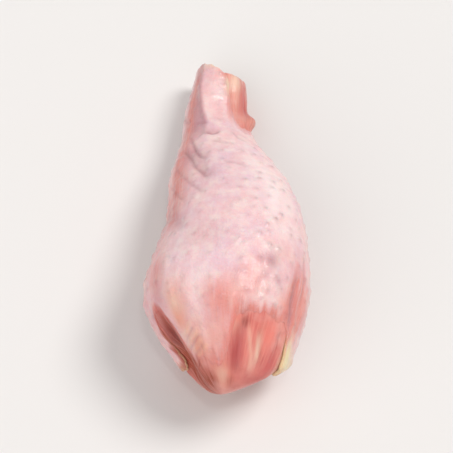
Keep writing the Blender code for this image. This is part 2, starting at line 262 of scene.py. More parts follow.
# --------------------------------------------------------------------------------------------- meat
# The muscles of the upper wing. They are bare past the hem of the skin and in the notch at the elbow:
# bundles of wet red fibre that run lengthwise and draw together at the shoulder, parted by grooves and
# veiled in places by fascia, a whitish film. A knife took the joint off under the tip.

LENGTH = 94.2 * MM
ELBOW_Y = 46.7 * MM
CAP_LENGTH = 32 * MM  # of the rounded shoulder end
CAP_POWER = 2.3
CAP_LEAN = 0.65  # how much squarer that end is on the right than in the middle
WIDEST_LEVEL = 0.47
TIP_Z = 11.5 * MM
OUTLINE = np.array(  # millimetres: along, left and right edge (x), underside and top (z)
    (
        (0, -8.1, 5.0, 0.6, 14.0),
        (5, -9.4, 5.2, -0.4, 14.2),
        (10, -10.7, 5.0, 0.8, 14.6),
        (16, -11.6, 5.2, 1.8, 15.4),
        (21, -11.9, 6.8, 2.2, 17.4),
        (27, -12.7, 10.2, 1.8, 20.6),
        (34, -14.5, 14.9, 0.9, 24.4),
        (42, -15.3, 18.1, 0.0, 28.4),
        (49, -15.8, 19.6, -0.8, 31.4),
        (57, -17.7, 20.5, -1.3, 33.6),
        (64, -19.9, 20.7, -1.5, 34.6),
        (73, -21.4, 20.0, -1.0, 34.6),
        (83, -19.8, 18.8, 0.0, 33.6),
        (94, -18.4, 17.8, 1.5, 32.5),
    )
)
SWELLINGS = (  # along and around of the middle, height, reach along, reach around in degrees
    (62, 152, 0.8, 12, 26),
    (44, 176, -0.5, 7, 24),
    (52, 48, 0.7, 15, 24),
    (38, 95, 0.7, 12, 30),
    (76, 100, 0.8, 9, 26),
    (80, 40, -0.7, 7, 18),
    (58, 230, 0.8, 14, 26),
    (60, 310, 0.9, 14, 26),
    (86, 172, -2.6, 4.5, 24),
    (80, 4, -0.8, 8, 20),
)
NECK_RIDGES = (0.6, 12, 13, 110)  # height, along, reach along, and the angle of the first of three
UNEVENNESS = 0.45 * MM
UNEVENNESS_SIZE = 15 * MM
SHOULDER_CUTS = (  # a point on each knife cut, in millimetres, and the way the cut faces
    ((1.5, -40.0, 7.2), (0.10, -0.68, -0.73)),
    ((12.4, -41.1, 14.2), (0.40, -0.83, -0.38)),
)
CUT_SOFTNESS = 0.7 * MM
SKIN_START = (  # around in degrees, along in millimetres
    (-90, 3.0), (-66, 7.5), (-48, 13.5), (-28, 18.2), (0, 19.6), (28, 19.6), (43, 19.0), (51, 16.0),
    (60, 11.0), (66, 7.0), (73, 4.8), (84, 3.4), (104, 2.2), (130, 0.6), (160, 0.0), (200, 0.2), (235, 1.4),
)
SKIN_HEM = (
    (-60, 81.0), (-30, 84.5), (-14, 87.0), (-4, 88.6), (8, 89.2), (17, 88.4), (24, 85.4), (29, 81.6),
    (35, 79.6), (48, 78.2), (62, 78.0), (74, 79.0), (81, 80.0), (87, 85.2), (93, 88.4), (101, 89.2),
    (112, 88.0), (122, 87.2), (131, 87.0), (136, 85.0), (141, 79.8), (147, 75.4), (156, 75.2),
    (164, 77.0), (171, 79.8), (178, 82.8), (187, 85.6), (210, 84.0), (240, 79.0), (270, 79.6),
)
HEM_RAGGED, HEM_WAVES = 0.5 * MM, ((9, 0, 1.0), (17, 1, 0.6))  # how many round, shift and share
HEM_TORN, HEM_TEARS = 0.22 * MM, ((33, 2, 1.0), (59, 0, 0.7), (87, 1, 0.5))
START_TORN, START_TEARS = 0.18 * MM, ((9, 0.7, 1.0), (19, 0, 0.6))
MUSCLE_GROOVES = (  # depth and half width, then pairs of along and around
    (1.1, 1.3, ((78, 73), (84, 78), (88, 80), (92.5, 79))),
    (0.6, 1.1, ((81, 60), (86, 56), (91, 44))),
    (0.6, 1.0, ((80, 36), (85, 36), (90, 36))),
    (0.7, 1.2, ((76, 150), (82, 152), (88, 156), (91, 160))),
    (0.9, 1.3, ((81, 226), (86, 224), (90, 220))),
    (0.9, 1.3, ((82, 312), (87, 314), (91, 318))),
    (0.7, 1.2, ((84, 266), (89, 262))),
)
TENDONS = (  # two pale streaks of the right muscle, and two like them on the underside
    (0.20, 0.6, ((80, 70), (84, 68), (88, 63), (91.5, 60))),
    (0.16, 0.5, ((82, 61), (86, 58), (89, 54))),
    (0.25, 0.8, ((82, 240), (87, 238), (91, 232))),
    (0.25, 0.8, ((83, 295), (88, 298), (91, 300))),
)
NOTCH_FLESH = (  # the muscle in the notch, the stub it ends in, and the cream lump of fat
    (11, 30, 0.9, 4, 26), (16.2, 8, 2.4, 2.4, 20), (6, 44, 0.7, 2.8, 20),
)
NOTCH_REACH = 2.4 * MM
BUNDLE_SIZE, BUNDLE_HEIGHT = (2.8, 2.8, 15), 0.24 * MM  # millimetres across the fibres, and along
THREAD_SIZE, THREAD_HEIGHT = (1.0, 1.0, 8), 0.09 * MM
LUMP_SIZE, LUMP_HEIGHT = 3.0 * MM, 0.20 * MM
STREAK_SIZE = (1.5, 1.5, 7.0)
FIBRES_END, FIBRES_FADE = 93 * MM, 4 * MM  # along, where the bundles have drawn together
FIBRE_RING = 16 * MM  # the radius at which a fibre's width is true
SKIN_THICKNESS = 1.2 * MM
LIP_TAPER = 6 * MM
HEM_LIPS = (  # around, then how thick the skin is at its hem: a film over the upper muscles
    (-60, 1.0), (-14, 1.1), (8, 1.1), (22, 0.8), (32, 0.35), (45, 0.20), (80, 0.20), (92, 0.22),
    (112, 0.25), (130, 0.30), (142, 0.35), (156, 0.35), (172, 0.50), (200, 0.8), (240, 0.9), (270, 0.9),
)
START_LIPS = (
    (-90, 1.0), (-70, 0.6), (-50, 0.3), (-20, 0.3), (20, 0.35), (45, 0.18), (66, 0.18), (80, 0.5),
    (95, 0.8), (180, 1.0), (235, 1.0),
)
LIFTS = (  # around, then how far the hem stands off
    (-60, 0.5), (-4, 0.55), (14, 0.4), (28, 0.15), (45, 0.02), (80, 0.02), (100, 0.05), (128, 0.08),
    (145, 0.06), (172, 0.14), (200, 0.35), (250, 0.6),
)
LIFT_REACH = 5 * MM
BARE_DEPTH = 0.5 * MM
BARE_REACH = 1.6 * MM  # how far past a rim the bare meat has its whole relief
FILM_BEDDED = 0.7  # the share of a film's thickness that lies in the meat
MEAT_LIFTED = 0.6  # the share of the hem's lift that the meat under it follows
GAP = 0.06 * MM  # between the meat and thick skin
TIP_STARTS, TIP_BLEND = 87.5, 4.5  # millimetres along
CUT_SHOWS = 0.5 * MM  # how deep the knife went where its cut begins to show
TENDON_PALE = 0.3 * MM  # how high a tendon is where it is pale all over
# How dark the painted shade in a groove is for each millimetre of its depth.
FURROW_SHADE = 0.22 / MM
# The brown, partly painted shade, is this strong evenly and varies this much in streaks.
BROWN_AND_SHADE_EVENLY, BROWN_AND_SHADE_STREAKS = 0.85, 0.5
BUNDLE_DARK, BUNDLE_LIGHT, THREAD = "#c66660", "#e28a80", "#eba497"
FASCIA, TENDON, FAT, ROSY = "#e6b2a9", "#ebb4a0", "#f2dfc6", "#ec8375"
CRIMSON, DEEP_RED, DRIED_BROWN_AND_SHADE = "#bf4a4d", "#7c2a25", "#983a1c"
# Paler meat; the place on the tip is a painted highlight.
PALE_AND_LIT_MEAT = (  # along, around, strength, reach along, reach around
    (91.0, 96, 0.90, 2.0, 11), (81.2, 82, 0.40, 2.0, 5), (86, 172, 0.3, 4, 6),
)
ROSY_MEAT = (
    (82, 50, 0.7, 5, 9), (84, 66, 0.3, 6, 8), (80.5, 81, 0.6, 2.2, 6), (91, 94, 0.7, 2.4, 14),
    (86, 230, 0.4, 6, 20), (88, 320, 0.5, 6, 20),
)
FATTY_MEAT = (
    (5.4, 52, 0.62, 3.4, 17), (12, 42, 0.25, 4, 14), (16.8, 14, 0.30, 1.8, 20), (86, 57, 0.45, 3.5, 3),
    (84, 22, 0.6, 4, 7), (4, 330, 0.4, 3, 30),
)
CRIMSON_MEAT = (
    (84.5, 78, 0.45, 3, 6), (88.2, 80, 0.60, 3, 7), (88.5, 38, 0.60, 3, 7), (13, 30, 0.40, 4, 16),
    (78, 152, 0.3, 6, 16), (90, 165, 0.2, 5, 20), (9, 28, 0.35, 3, 8), (15, 10, 0.30, 3, 14),
    (92.5, 48, 0.4, 2, 20),
)
# Deep red, which in the window on the left is partly painted shade.
DEEP_AND_SHADED_MEAT = (
    (80.5, 73, 0.50, 1.2, 3), (79, 153, 0.55, 3.5, 10), (84, 156, 0.95, 4.5, 14), (13, 16, 0.30, 4, 14),
    (5.6, 20, 0.20, 3, 12),
)
BROWN_AND_SHADED_MEAT = (  # meat dried brown by the air, in the window and from there to the tip, and there partly painted shade of the left side
    (91.4, 118, 0.75, 1.6, 12), (88.4, 134, 0.90, 2.6, 11), (89, 156, 1.0, 4.0, 22),
    (92.2, 84, 0.45, 0.9, 7), (91.3, 166, 0.9, 2.4, 36), (78, 148, 0.6, 3, 9), (86, 187, 0.85, 5.0, 22),
    (85, 160, 0.5, 3, 10), (80.5, 171, 0.65, 3.5, 8),
)
TUCK = 3 * MM  # how far past the hem the bare meat still rises to it
MEAT_START = 2.4 * MM
MEAT_COLUMNS, MEAT_ROWS = 380, 220
MEAT_SPREAD = ((6, 4.0), (50, 23.0), (68, 70.0), (220, 94.2))  # row of the mesh, its along in mm


def round_the_edge(around, rim):
    """A rim's place along, in metres, read at an angle."""
    angle, place = np.array(rim, float).T
    knots = np.concatenate([angle - 360, angle, angle + 360])
    return through(np.mod(around + 90, 360) - 90, knots, np.tile(place, 3)) * MM


def turn_between(a, b):
    """The smallest angle between two directions, in degrees."""
    return np.abs(np.mod(a - b + 180, 360) - 180)


def along_of(reach):
    """Turns reach, from 0 at the elbow to 1 at the tip in even steps over the surface, into along."""
    straight = LENGTH - CAP_LENGTH
    walked = np.asarray(reach, float) * (straight + CAP_LENGTH * math.pi / 2)
    turned = np.clip((walked - straight) / CAP_LENGTH, 0, math.pi / 2)
    return np.minimum(walked, straight) + CAP_LENGTH * np.sin(turned)


def reach_of(along):
    straight = LENGTH - CAP_LENGTH
    past = np.clip((np.asarray(along, float) - straight) / CAP_LENGTH, 0, 1)
    walked = np.minimum(along, straight) + CAP_LENGTH * np.arcsin(past)
    return walked / (straight + CAP_LENGTH * math.pi / 2)


def plain_form(reach, around):
    """The outside with no relief: sections of four quarter ellipses, closed by the rounded end."""
    along, angle = along_of(reach), np.radians(around)
    left, right, bottom, top = (through(along / MM, OUTLINE[:, 0], OUTLINE[:, k]) * MM for k in range(1, 5))
    past = np.clip((along - (LENGTH - CAP_LENGTH)) / CAP_LENGTH, 0, 1)
    power = CAP_POWER + CAP_LEAN * np.cos(angle)
    closing = (1 - past**power) ** (1 / power)
    middle_z = bottom + WIDEST_LEVEL * (top - bottom)
    height = np.where(np.sin(angle) > 0, top - middle_z, middle_z - bottom)
    level = TIP_Z + (middle_z - TIP_Z) * (1 - past**CAP_POWER) ** (0.8 / CAP_POWER)
    across = (left + right) / 2 + (right - left) / 2 * np.cos(angle)
    return np.stack([across * closing, ELBOW_Y - along, level + height * closing * np.sin(angle)], axis=1)


def outward(reach, around):
    """The plain form's outward direction, from two small steps over it."""
    reach = np.clip(reach, 0, 0.9985)
    step, turn = 1e-3, 0.5
    down = plain_form(np.minimum(reach + step, 0.9995), around) - plain_form(reach - step, around)
    across = plain_form(reach, around + turn) - plain_form(reach, around - turn)
    direction = np.cross(across, down)
    return direction / np.linalg.norm(direction, axis=1, keepdims=True)


def search_tree(points):
    """Sorts the points, so that the ones nearest to a place are found fast."""
    tree = kdtree.KDTree(len(points))
    for i, point in enumerate(points):
        tree.insert(point, i)
    tree.balance()
    return tree


def nearest_on(points, curve):
    """The distance from each point to the nearest of a curve's points, and which one that is."""
    tree = search_tree(curve)
    found = [tree.find(point) for point in points]
    return np.array([f[2] for f in found]), np.array([f[1] for f in found])


def lines(places, ways):
    """How deep each place lies in the furrows that run along the ways, fading out at their ends."""
    depth = np.zeros(len(places))
    for deep, half_width, way in ways:
        along, around = np.array(way, float).T
        at, knots = np.linspace(0, 1, 80), np.linspace(0, 1, len(along))
        curve = plain_form(reach_of(through(at, knots, along) * MM), through(at, knots, around))
        reach = 3 * half_width * MM
        near = np.all((places > curve.min(0) - reach) & (places < curve.max(0) + reach), axis=1)
        away, which = nearest_on(places[near], curve)
        run = which / (len(curve) - 1)
        fade = ease(run / 0.25) * ease((1 - run) / 0.25)
        depth[near] += deep * MM * fade * hump(away / (half_width * MM))
    return depth


def humps(along, around, places):
    height = np.zeros(len(along))
    for at, angle, tall, reach_along, reach_around in places:
        away = hump((along - at) / reach_along) * hump(turn_between(around, angle) / reach_around)
        height += tall * MM * away
    return height


def swelling(reach, around):
    """The muscles' swellings and the unevenness of soft meat, at each place."""
    along = along_of(reach) / MM
    height = humps(along, around, SWELLINGS)
    tall, middle, reach_along, first = NECK_RIDGES
    height += tall * MM * hump((along - middle) / reach_along) * np.cos(np.radians(3 * (around - first)))
    firm = ease((along - 12) / 25)
    height += UNEVENNESS * rough(plain_form(reach, around), UNEVENNESS_SIZE) * (0.25 + 0.75 * firm)
    return height * ease((1 - np.asarray(reach)) / 0.06)


def cut_by_knife(points, depth):
    for point, normal in SHOULDER_CUTS:
        normal = np.array(Vector(normal).normalized())
        past = (points - np.array(point) * MM) @ normal + depth
        over = CUT_SOFTNESS * np.logaddexp(0, past / CUT_SOFTNESS)
        points = points - over[:, None] * normal
    return points


def body_surface(reach, around, depth, relief=0.0):
    """Places on the drumette's body, this deep below its outside. It sinks onto the table's plane."""
    depth = np.broadcast_to(depth, np.shape(reach)).astype(float)
    rise = swelling(reach, around) + relief - depth
    points = plain_form(reach, around) + rise[:, None] * outward(reach, around)
    points = cut_by_knife(points, depth)
    points[:, 2] = np.maximum(points[:, 2], depth)
    return points


def waves(around, kinds):
    """Adds up waves that run round an edge, given as how many, shift and share."""
    turn = np.radians(around)
    return sum(share * np.sin(count * turn + shift) for count, shift, share in kinds)


def start_of_skin(around):
    return np.maximum(round_the_edge(around, SKIN_START) + START_TORN * waves(around, START_TEARS), 0)


def hem_of_skin(around):
    ragged, torn = HEM_RAGGED * waves(around, HEM_WAVES), HEM_TORN * waves(around, HEM_TEARS)
    return round_the_edge(around, SKIN_HEM) + ragged + torn


def loose_edge(reach, around):
    """How far the skin stands off near its hem."""
    away = np.abs(hem_of_skin(around) - along_of(reach))
    return round_the_edge(around, LIFTS) * ease(1 - away / LIFT_REACH)


def skin_thickness(reach, around):
    """The skin's thickness, which tapers to a lip at both rims."""
    along = along_of(reach)
    to_hem = ease(1 - np.abs(hem_of_skin(around) - along) / LIP_TAPER)
    to_start = ease(1 - np.abs(along - start_of_skin(around)) / LIP_TAPER)
    thick = SKIN_THICKNESS + (round_the_edge(around, HEM_LIPS) - SKIN_THICKNESS) * to_hem
    return thick + (round_the_edge(around, START_LIPS) - SKIN_THICKNESS) * to_start


def thin_film(thick):
    """From 0 to 1: where skin is so thin that it clings to the muscle and takes its shape."""
    return ease((0.7 * MM - thick) / (0.4 * MM))


def past_the_skin(reach, around):
    """How far each place lies outside the skin's two rims; 0 under the skin."""
    places, along = plain_form(reach, around), along_of(reach)
    angles = np.arange(0, 360, 1.0)
    outside = np.zeros(len(along))
    past_hem, past_start = along > hem_of_skin(around), along < start_of_skin(around)
    for rim, beyond in ((hem_of_skin, past_hem), (start_of_skin, past_start)):
        away, _ = nearest_on(places, plain_form(reach_of(rim(angles)), angles))
        outside = np.where(beyond, away, outside)
    return outside


def straightened(reach, around):
    """Each place on a straight tube as long as the drumette: fibres and wrinkles follow it."""
    angle = np.radians(around)
    walked = np.asarray(reach) * (LENGTH - CAP_LENGTH + CAP_LENGTH * math.pi / 2)
    return np.stack([FIBRE_RING * np.cos(angle), FIBRE_RING * np.sin(angle), walked], axis=1)


def muscle_tone(tree):
    """The colour of the fibre bundles, and the pattern of their threads. Fibres are 0.1 mm wide and
    show as threads of about 0.5 mm, in bundles of about 2.4 mm."""
    tube = add_node(tree, "Attribute", attribute_name="straightened").outputs["Vector"]
    along_threads = add_node(
        tree, "Mapping", {"Vector": tube, "Scale": (1 / (0.5 * MM), 1 / (0.5 * MM), 1 / (9 * MM))}
    )
    threads = add_node(
        tree,
        "TexNoise",
        {
            "Vector": along_threads.outputs[0],
            "Scale": 1.0,
            "Detail": 4.0,
            "Roughness": 0.6,
            "Distortion": 0.3,
        },
    )
    along_bundles = add_node(
        tree, "Mapping", {"Vector": tube, "Scale": (1 / (2.4 * MM), 1 / (2.4 * MM), 1 / (15 * MM))}
    )
    bundles = add_node(
        tree, "TexNoise", {"Vector": along_bundles.outputs[0], "Scale": 1.0, "Detail": 2.0, "Distortion": 0.5}
    )
    bundle_tone = add_node(
        tree, "MapRange", {"Value": bundles.outputs["Fac"], "From Min": 0.3, "From Max": 0.68}
    )
    thread_tone = add_node(
        tree, "MapRange", {"Value": threads.outputs["Fac"], "From Min": 0.38, "From Max": 0.7, "To Max": 0.6}
    )
    bundled = layered(tree, linear(BUNDLE_DARK), ((bundle_tone.outputs["Result"], BUNDLE_LIGHT),))
    threaded = layered(tree, bundled, ((thread_tone.outputs["Result"], THREAD),))
    return threaded, threads.outputs["Fac"]


def raw_muscle():
    """Raw muscle: red fibre bundles under a film of juice, with whitish fascia and paler tendon. Where
    the knife went across, the bundles' cut ends show, parted by a net of fascia."""
    look = bpy.data.materials.new("raw chicken muscle")
    look.use_nodes = True
    tree = look.node_tree
    shader = tree.nodes["Principled BSDF"]
    place = add_node(tree, "TexCoord").outputs["Object"]
    blotch = add_node(tree, "TexNoise", {"Vector": place, "Scale": 1 / (5 * MM), "Detail": 4.0})
    wander = add_node(tree, "TexNoise", {"Vector": place, "Scale": 1 / (2.2 * MM), "Detail": 3.0})
    wandered = add_node(
        tree,
        "VectorMath",
        {0: wander.outputs["Color"], 1: (1.6 * MM,) * 3, 2: place},
        operation="MULTIPLY_ADD",
    )
    ends = add_node(
        tree,
        "TexVoronoi",
        {"Vector": wandered.outputs[0], "Scale": 1 / (1.5 * MM)},
        feature="DISTANCE_TO_EDGE",
    )
    end_net = add_node(
        tree,
        "MapRange",
        {"Value": ends.outputs["Distance"], "From Min": 0.16, "From Max": 0.0, "To Max": 0.32},
    )
    cut = add_node(tree, "Attribute", attribute_name="cut").outputs["Fac"]
    cut_net = add_node(tree, "Math", {0: end_net.outputs["Result"], 1: cut}, operation="MULTIPLY")
    film = add_node(
        tree, "MapRange", {"Value": blotch.outputs["Fac"], "From Min": 0.5, "From Max": 0.72, "To Max": 0.6}
    )
    fibres, threads = muscle_tone(tree)
    streaky = add_node(
        tree,
        "MapRange",
        {"Value": threads, "From Min": 0.35, "From Max": 0.65, "To Min": 1.25, "To Max": 0.7},
    )
    flesh = layered(tree, linear(BUNDLE_DARK), ((wander.outputs["Fac"], THREAD),))
    colour = layered(
        tree,
        fibres,
        (
            ("tip", flesh),
            (film.outputs["Result"], FASCIA),
            (cut_net.outputs[0], FASCIA),
            ("rosy", ROSY),
            ("pale", TENDON),
            ("fat", FAT),
            ("crimson", CRIMSON),
        ),
    )
    # Deep red and brown, both partly painted shade.
    for zone, next_colour in (("deep", DEEP_RED), ("brown_and_shade", DRIED_BROWN_AND_SHADE)):
        painted = add_node(tree, "Attribute", attribute_name=zone).outputs["Fac"]
        amount = add_node(
            tree, "Math", {0: painted, 1: streaky.outputs["Result"]}, operation="MULTIPLY", use_clamp=True
        )
        colour = layered(tree, colour, ((amount.outputs[0], next_colour),))
    tree.links.new(colour, shader.inputs["Base Color"])
    wetness = add_node(
        tree,
        "MapRange",
        {"Value": blotch.outputs["Fac"], "From Min": 0.3, "From Max": 0.7, "To Min": 0.5, "To Max": 0.3},
    )
    tree.links.new(wetness.outputs["Result"], shader.inputs["Roughness"])
    height = add_node(tree, "Math", {0: threads, 1: cut_net.outputs[0]}, operation="SUBTRACT")
    bump = add_node(tree, "Bump", {"Height": height.outputs[0], "Distance": 0.14 * MM, "Strength": 0.8})
    tree.links.new(bump.outputs["Normal"], shader.inputs["Normal"])
    for name, value in {
        "IOR": 1.38,
        "Subsurface Weight": 0.22,
        "Subsurface Radius": (1.0, 0.34, 0.22),
        "Subsurface Scale": 1.3 * MM,
        "Specular IOR Level": 0.35,
        "Coat Weight": 0.38,
        "Coat IOR": 1.33,
        "Coat Roughness": 0.14,
    }.items():
        shader.inputs[name].default_value = value
    return look


def muscle_relief(places, tube):
    """The bundles of fibres, the threads within them, and the lumps of soft flesh."""
    bundles = rough(tube / np.array(BUNDLE_SIZE), MM, seed=3.1)
    threads = rough(tube / np.array(THREAD_SIZE), MM, seed=7.7)
    lumps = rough(places, LUMP_SIZE, seed=4.2)
    fibres = ease((FIBRES_END - (ELBOW_Y - places[:, 1])) / FIBRES_FADE)
    return (BUNDLE_HEIGHT * bundles + THREAD_HEIGHT * threads) * fibres + LUMP_HEIGHT * lumps


def fibre_streaks(tube):
    """From -1 to 1: uneven streaks that run with the fibres."""
    return rough(tube / np.array(STREAK_SIZE), MM, seed=6.6)


def painted_zones(along, around, zones):
    """From 0 to 1: how strongly each place lies in the zones, given as along, around, strength, reach
    along and reach around."""
    return np.clip(humps(along, around, zones) / MM, 0, 1)


bpy.ops.object.select_all(action="DESELECT")
bpy.ops.mesh.primitive_uv_sphere_add(segments=MEAT_COLUMNS, ring_count=MEAT_ROWS, radius=1)
meat = bpy.context.active_object
row_share, around = ball_places(meat)
row = row_share * MEAT_ROWS
rows, rows_along = np.array(MEAT_SPREAD).T
turn = np.clip(row / rows[0], 0, 1) * math.pi / 2
reach = np.interp(row, rows, reach_of(rows_along * MM))
end_depth = rows_along[0] * MM - MEAT_START
reach = np.where(row < rows[0], reach_of(MEAT_START + end_depth * (1 - np.cos(turn))), reach)
along = along_of(reach) / MM
places = plain_form(reach, around)
outside = past_the_skin(reach, around)
bare = ease(outside / BARE_REACH)
tube = straightened(reach, around)
furrow = lines(places, MUSCLE_GROOVES)
tendon = lines(places, TENDONS)
lip = np.where(along > 50, round_the_edge(around, HEM_LIPS), round_the_edge(around, START_LIPS))
thick = skin_thickness(reach, around)
rim_lift = np.where(along > 50, round_the_edge(around, LIFTS), 0)
shown = np.maximum(bare, thin_film(np.where(outside > 0, lip, thick)))
relief = humps(along, around, NOTCH_FLESH) * ease(outside / NOTCH_REACH)
fat = painted_zones(along, around, FATTY_MEAT)
relief += shown * (1 - 0.8 * fat) * muscle_relief(places, tube) - furrow * (0.3 + 0.5 * shown) + tendon
under_skin = thick * (1 - FILM_BEDDED * thin_film(thick)) - MEAT_LIFTED * loose_edge(reach, around)
at_rim = lip * (1 - FILM_BEDDED * thin_film(lip)) - MEAT_LIFTED * rim_lift
past_rim = BARE_DEPTH + (at_rim - BARE_DEPTH) * hump(outside / TUCK)
depth = np.where(outside > 0, past_rim, under_skin) + GAP * (1 - shown)
uncut = places + (swelling(reach, around) + relief - depth)[:, None] * outward(reach, around)
cut = np.linalg.norm(cut_by_knife(uncut, depth) - uncut, axis=1)
points = body_surface(reach, around, depth, relief)
for axis in (0, 2):  # the elbow face closes round the end of the bone
    points[:, axis] = BONE_ELBOW[axis] + (points[:, axis] - BONE_ELBOW[axis]) * np.sin(turn)
shape_piece(meat, "wing_muscle", points)
paint(meat, "straightened", tube, "FLOAT_VECTOR")
paint(meat, "tip", ease((along - TIP_STARTS) / TIP_BLEND))
paint(meat, "cut", ease((cut - CUT_SHOWS) / CUT_SHOWS))
# Pale tendons and paler meat, with a painted highlight on the tip.
paint(meat, "pale", np.clip(tendon / TENDON_PALE + painted_zones(along, around, PALE_AND_LIT_MEAT), 0, 1))
paint(meat, "rosy", painted_zones(along, around, ROSY_MEAT))
paint(meat, "fat", fat)
paint(meat, "crimson", painted_zones(along, around, CRIMSON_MEAT))
# Deep red, with painted shade in the grooves and in the window on the left.
paint(meat, "deep", np.clip(FURROW_SHADE * furrow + painted_zones(along, around, DEEP_AND_SHADED_MEAT), 0, 1))
# Brown of dried meat, which along the left is partly painted shade.
brown_and_shade_amount = BROWN_AND_SHADE_EVENLY + BROWN_AND_SHADE_STREAKS * fibre_streaks(tube)
paint(meat, "brown_and_shade", brown_and_shade_amount * painted_zones(along, around, BROWN_AND_SHADED_MEAT))
dress(meat, "meat", raw_muscle())

# --------------------------------------------------------------------------------------------- skin
# A loose sleeve of raw skin, about 1.2 mm thick with the fat on its inner side. Its outside is pale
# and moist, raised in goose bumps round the plucked feathers' pores, and crossed by fine wrinkles that
# run over the neck. Where it thins to a film at the upper hem, the red of the muscle shows through it.

SKIN_COLUMNS = 336
OUTER_ROWS, INNER_ROWS, LIP_ROWS = 210, 34, 5
RIM_REACH = 0.45
LIP_OVERHANG = 0.5  # how far the skin's edge is rounded out, as a share of its thickness
CREASES = (  # depth and half width, then pairs of along and around, as for the muscle's grooves
    (0.65, 1.5, ((26, 156), (32, 126), (37, 114), (41, 105))),
    (0.55, 1.3, ((27, 134), (31, 118), (34, 107))),
    (0.55, 1.3, ((24, 128), (23, 110), (23, 98), (24, 88))),
    (0.60, 2.2, ((44, 184), (47, 164), (52, 140), (57, 126))),
    (0.55, 1.8, ((31, 215), (28, 250), (31, 290))),
    (0.55, 1.8, ((23, 330), (25, 290), (23, 250))),
)
FINE_CREASES = (
    (0.34, 0.55, ((25, 160), (31, 133), (35, 124), (38, 116), (42, 108))),
    (0.32, 0.50, ((23, 136), (27, 129), (30, 123), (34, 108))),
    (0.36, 0.50, ((22.5, 110), (24.1, 98), (22.6, 86))),
    (0.22, 0.50, ((30, 164), (37, 140), (43, 122), (46, 112))),
    (0.20, 0.50, ((36, 170), (42, 148), (47, 132))),
    (0.20, 0.50, ((19, 124), (19.5, 112), (20, 100))),
    (0.20, 0.50, ((27, 104), (27.5, 92), (28, 78))),
    (0.20, 0.50, ((14, 176), (17, 150), (18, 132))),
    (0.20, 0.50, ((22, 70), (24.5, 62), (26, 48))),
    (0.18, 0.50, ((35, 96), (35.5, 84), (37, 70))),
    (0.40, 0.70, ((64, 36), (70.9, 35), (74.3, 34), (77.4, 31), (81, 28))),
    (0.20, 0.60, ((58, 28), (66, 25), (74, 22))),
    (0.16, 0.40, ((80.3, 115), (82.1, 125), (83.8, 136.5))),
    (0.20, 0.45, ((82.4, 112), (84.0, 122), (85.4, 134))),
    (0.14, 0.35, ((84.1, 109), (85.3, 117), (86.2, 126.5))),
)
RIDGES = (
    (0.40, 1.5, ((3, 124), (8, 118), (13, 111), (19, 106))),
    (0.35, 0.9, ((8, 70), (12, 66), (14.5, 62), (17, 54))),
    (0.30, 1.2, ((24.6, 122), (25.5, 106), (26.3, 90))),
    (0.30, 1.0, ((64, 30), (71, 29), (78, 26), (83, 22))),
)
FAT_STREAKS = (
    (0.16, 0.40, ((79.0, 117), (81.0, 125), (82.8, 136))),
    (0.20, 0.50, ((81.5, 112), (83.2, 124), (84.8, 137))),
    (0.14, 0.60, ((83.4, 112), (84.8, 119), (85.8, 130))),
    (0.16, 0.35, ((84.8, 106), (85.8, 114), (86.8, 123))),
)
BUMPY_SKIN = (  # where the feathers grew thickest
    (44, 56, 1.1, 13, 22), (64, 50, 0.7, 10, 24), (30, 110, 0.2, 10, 30), (58, 150, 0.4, 12, 25),
    (50, 330, 0.6, 20, 40), (55, 230, 0.4, 20, 40),
)
PORE_SPACING = 3.9 * MM
PORE_ROWS = 0.87  # how far apart the rows are, as a share of the spacing in them
PORE_JITTER = 0.8 * MM
BUMP_HEIGHT = 0.55 * MM
BUMP_SIZES = (0.35, 1.0)
BUMPS_ELSEWHERE = 0.55
PORE_WIDTHS = (0.90 * MM, 0.80 * MM, 0.38 * MM)  # of the bump, the painted shade round its pore, and the painted shade in the pore
PORE_SHADE_TONES = (0.22, 0.30)  # of the painted shade round the pore and of that in the pore
WRINKLE_DEPTH = 0.16 * MM
NECK_WRINKLES, BODY_WRINKLES = (5.0, 5.0, 1.1), (1.3, 1.3, 7.0)  # millimetres round, and along
NECK_ENDS, NECK_BLEND = 64, 26
SKIN_LUMP_SIZE, SKIN_LUMP_HEIGHT = 4.5 * MM, 0.16 * MM
FACET_EDGE = ((0, 124), (8, 113), (13, 105), (19, 99), (26, 106))  # along and around
FACET_ENDS, FACET_BACK = 27, 178  # along, and around
FACET_DEPTH, FACET_LAG = 0.5 * MM, 6  # it sinks in this many degrees behind the edge of its painted shade
ROSE, LAVENDER, CREAM, BLUSH = "#edc9ca", "#e4c5d0", "#f0dbd6", "#e2abb1"
PEACH, CHALK, MAUVE = "#e8a08c", "#f6e4e2", "#b0808a"
SKIN_FAT, FOLD_SHADE, PORE_SHADE = "#e9d5a9", "#b07c80", "#a07a7f"
